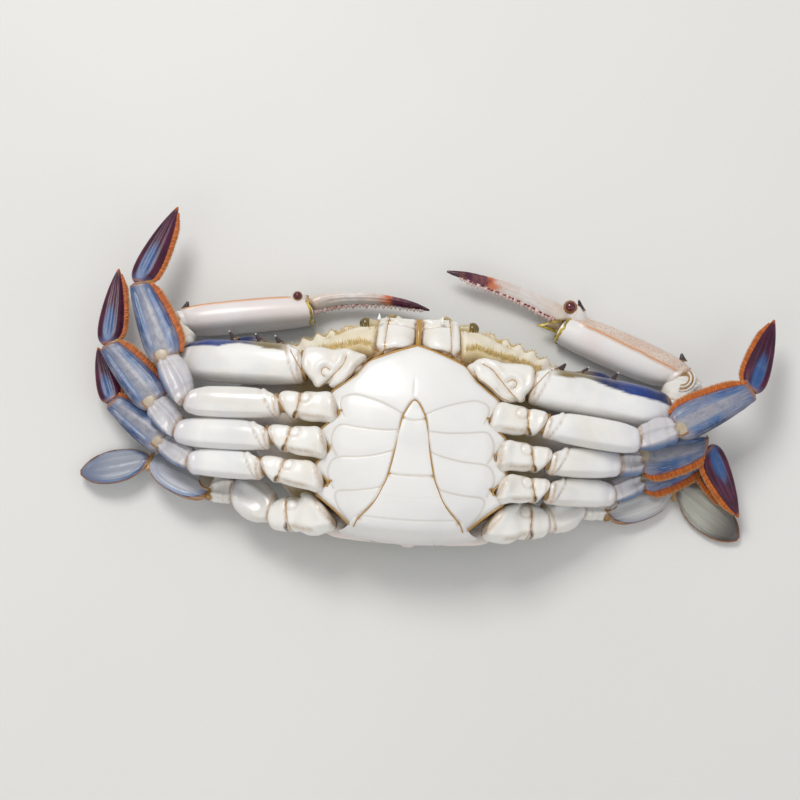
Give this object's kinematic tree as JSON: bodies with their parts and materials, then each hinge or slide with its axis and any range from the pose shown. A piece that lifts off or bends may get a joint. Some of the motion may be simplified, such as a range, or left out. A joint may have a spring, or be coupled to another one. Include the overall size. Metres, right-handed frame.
{
  "type": "blue swimming crab",
  "caption": "Male blue swimming crab lying on its back: toothed shell with long side spines, narrow tail flap, folded claws, flat walking legs and paddle-shaped last legs.",
  "frame": {"origin": "on the floor, below the middle of the whole crab's box", "axes": "+X towards the crab's left side, +Y towards its head, +Z out of its belly, up"},
  "size_m": [0.2336, 0.1116, 0.0377],
  "materials": {
    "shell_back": "granular olive-brown shell with pale and blue blotches, damp",
    "shell_belly": "smooth near-white shell with amber sutures, damp",
    "shell_joint": "cream shell with tan joint skin, damp",
    "shell_white": "porcelain white shell with a faint blue cast, wet gloss",
    "shell_blue": "blue to lilac-grey shell with orange hair fringes, wet gloss",
    "shell_claw": "white shell flushed pink and orange along its ridges, wet gloss",
    "shell_dark": "dark purple to maroon shell with orange edges, wet gloss",
    "eye_black": "polished black cornea on an olive stalk",
    "feeler": "thin ringed amber feeler"
  },
  "bodies": {
    "root": {"abdomen": "shell_belly", "antenna_left": "feeler", "antenna_right": "feeler", "carapace": "shell_back", "claw_left_base": "shell_joint", "claw_left_carpus": "shell_joint", "claw_left_finger": "shell_dark", "claw_left_merus": "shell_white", "claw_left_palm": "shell_claw", "claw_right_base": "shell_joint", "claw_right_carpus": "shell_joint", "claw_right_finger": "shell_dark", "claw_right_merus": "shell_white", "claw_right_palm": "shell_claw", "eye_left": "eye_black", "eye_right": "eye_black", "leg2_left_base": "shell_joint", "leg2_left_carpus": "shell_joint", "leg2_left_dactyl": "shell_dark", "leg2_left_merus": "shell_white", "leg2_left_propodus": "shell_blue", "leg2_right_base": "shell_joint", "leg2_right_carpus": "shell_joint", "leg2_right_dactyl": "shell_dark", "leg2_right_merus": "shell_white", "leg2_right_propodus": "shell_blue", "leg3_left_base": "shell_joint", "leg3_left_carpus": "shell_joint", "leg3_left_dactyl": "shell_dark", "leg3_left_merus": "shell_white", "leg3_left_propodus": "shell_blue", "leg3_right_base": "shell_joint", "leg3_right_carpus": "shell_joint", "leg3_right_dactyl": "shell_dark", "leg3_right_merus": "shell_white", "leg3_right_propodus": "shell_blue", "leg4_left_base": "shell_joint", "leg4_left_carpus": "shell_joint", "leg4_left_dactyl": "shell_dark", "leg4_left_merus": "shell_white", "leg4_left_propodus": "shell_blue", "leg4_right_base": "shell_joint", "leg4_right_carpus": "shell_joint", "leg4_right_dactyl": "shell_dark", "leg4_right_merus": "shell_white", "leg4_right_propodus": "shell_blue", "leg5_left_base": "shell_joint", "leg5_left_carpus": "shell_joint", "leg5_left_merus": "shell_joint", "leg5_left_paddle": "shell_blue", "leg5_left_propodus": "shell_blue", "leg5_right_base": "shell_joint", "leg5_right_carpus": "shell_joint", "leg5_right_merus": "shell_joint", "leg5_right_paddle": "shell_blue", "leg5_right_propodus": "shell_blue", "maxilliped_left": "shell_joint", "maxilliped_right": "shell_joint", "thorax": "shell_belly"}
  },
  "joints": []
}
